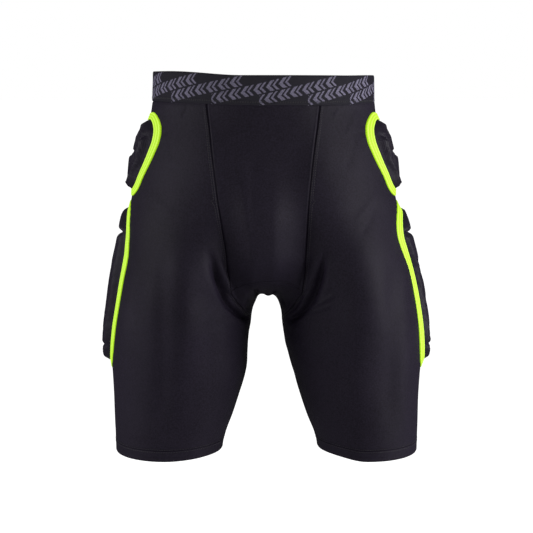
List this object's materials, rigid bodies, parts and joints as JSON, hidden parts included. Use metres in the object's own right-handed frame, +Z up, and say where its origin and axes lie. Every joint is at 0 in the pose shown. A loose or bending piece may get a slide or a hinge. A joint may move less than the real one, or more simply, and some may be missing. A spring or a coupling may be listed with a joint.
{
  "type": "padded impact shorts",
  "caption": "Close-fitting stretch shorts with foam impact pads at the hips, thighs and tailbone, framed by flat tape.",
  "frame": {"origin": "centre of the waist opening, in the plane of the waistband's rim", "axes": "+Z up out of the waist opening, -Y the wearer's front, +X the wearer's left; the legs hang down -Z"},
  "size_m": [0.4334, 0.242, 0.503],
  "materials": {
    "black_stretch_knit": "satin",
    "pad_cover_knit": "satin",
    "lime_tape": "satin",
    "elastic_band": "matte",
    "lining_mesh": "matte",
    "label_satin": "satin",
    "foam": "matte",
    "silicone": "satin"
  },
  "bodies": {
    "pelvis": {"waistband": "elastic_band", "care_label": "label_satin", "front_centre_panel": "black_stretch_knit", "rear_centre_panel": "black_stretch_knit", "gusset": "black_stretch_knit", "gusset_lining": "lining_mesh", "tailbone_tape": "lime_tape", "tailbone_pad_cover": "pad_cover_knit", "tailbone_pad_backing": "lining_mesh", "tailbone_foam_upper": "foam", "tailbone_foam_lower": "foam", "left_hip_tape": "lime_tape", "left_hip_pad_cover": "pad_cover_knit", "left_hip_pad_backing": "lining_mesh", "left_hip_foam_upper": "foam", "left_hip_foam_lower": "foam", "right_hip_tape": "lime_tape", "right_hip_pad_cover": "pad_cover_knit", "right_hip_pad_backing": "lining_mesh", "right_hip_foam_upper": "foam", "right_hip_foam_lower": "foam"},
    "left_leg": {"left_front_leg_panel": "black_stretch_knit", "left_rear_leg_panel": "black_stretch_knit", "left_thigh_tape": "lime_tape", "left_thigh_pad_cover": "pad_cover_knit", "left_thigh_pad_backing": "lining_mesh", "left_thigh_foam_upper": "foam", "left_thigh_foam_middle": "foam", "left_thigh_foam_lower": "foam", "left_hem_band": "black_stretch_knit", "left_hem_gripper": "silicone"},
    "right_leg": {"right_front_leg_panel": "black_stretch_knit", "right_rear_leg_panel": "black_stretch_knit", "right_thigh_tape": "lime_tape", "right_thigh_pad_cover": "pad_cover_knit", "right_thigh_pad_backing": "lining_mesh", "right_thigh_foam_upper": "foam", "right_thigh_foam_middle": "foam", "right_thigh_foam_lower": "foam", "right_hem_band": "black_stretch_knit", "right_hem_gripper": "silicone"}
  },
  "joints": [
    {"name": "left_hip", "type": "hinge", "parent": "pelvis", "child": "left_leg", "pos_m": [0.1, 0.0055, -0.205], "axis": [-1, 0, 0], "range_deg": [-15, 40], "stiffness_Nm_per_rad": 0.3, "deforming": ["left_front_leg_panel", "left_rear_leg_panel"]},
    {"name": "right_hip", "type": "hinge", "parent": "pelvis", "child": "right_leg", "pos_m": [-0.1, 0.0055, -0.205], "axis": [-1, 0, 0], "range_deg": [-15, 40], "stiffness_Nm_per_rad": 0.3, "deforming": ["right_front_leg_panel", "right_rear_leg_panel"]}
  ]
}
